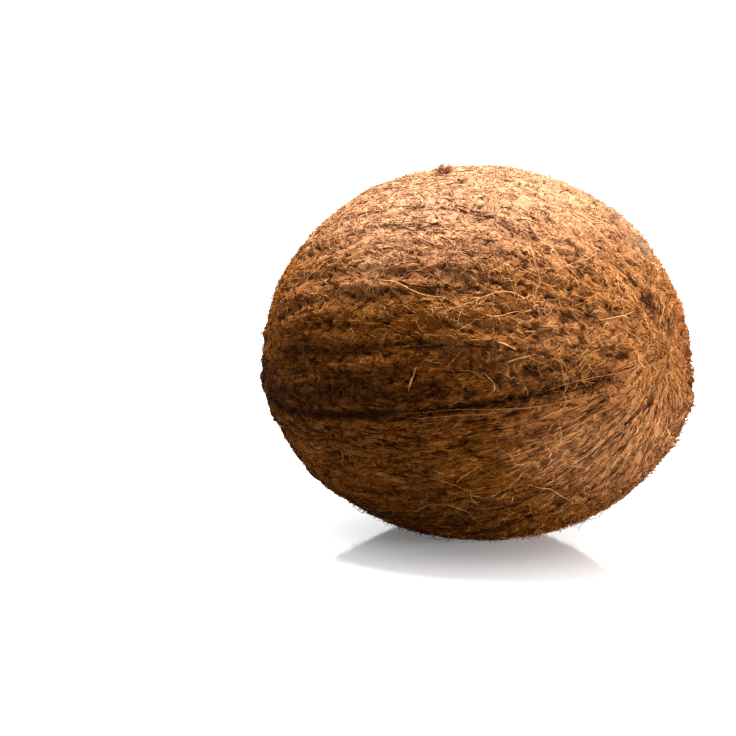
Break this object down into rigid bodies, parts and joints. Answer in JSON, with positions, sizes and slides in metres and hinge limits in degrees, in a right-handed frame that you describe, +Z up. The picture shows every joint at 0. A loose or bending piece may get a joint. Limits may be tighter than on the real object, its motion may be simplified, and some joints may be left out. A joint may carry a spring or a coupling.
{
  "type": "coconut",
  "caption": "Whole brown dehusked coconut lying on its side, egg-shaped, with fibrous ridges, seams, eyes at the blunt end and a small flat to rest on.",
  "frame": {"origin": "on the surface that the coconut rests on, under the centre of its bounding box", "axes": "+Z up, +X along the nut towards its pointed end, the eye end at -X"},
  "size_m": [0.136, 0.1132, 0.1087],
  "materials": {
    "husk": "matte coir fibre, tan to dark brown, over a grey-brown shell"
  },
  "bodies": {
    "root": {"coconut": "husk"}
  },
  "joints": []
}
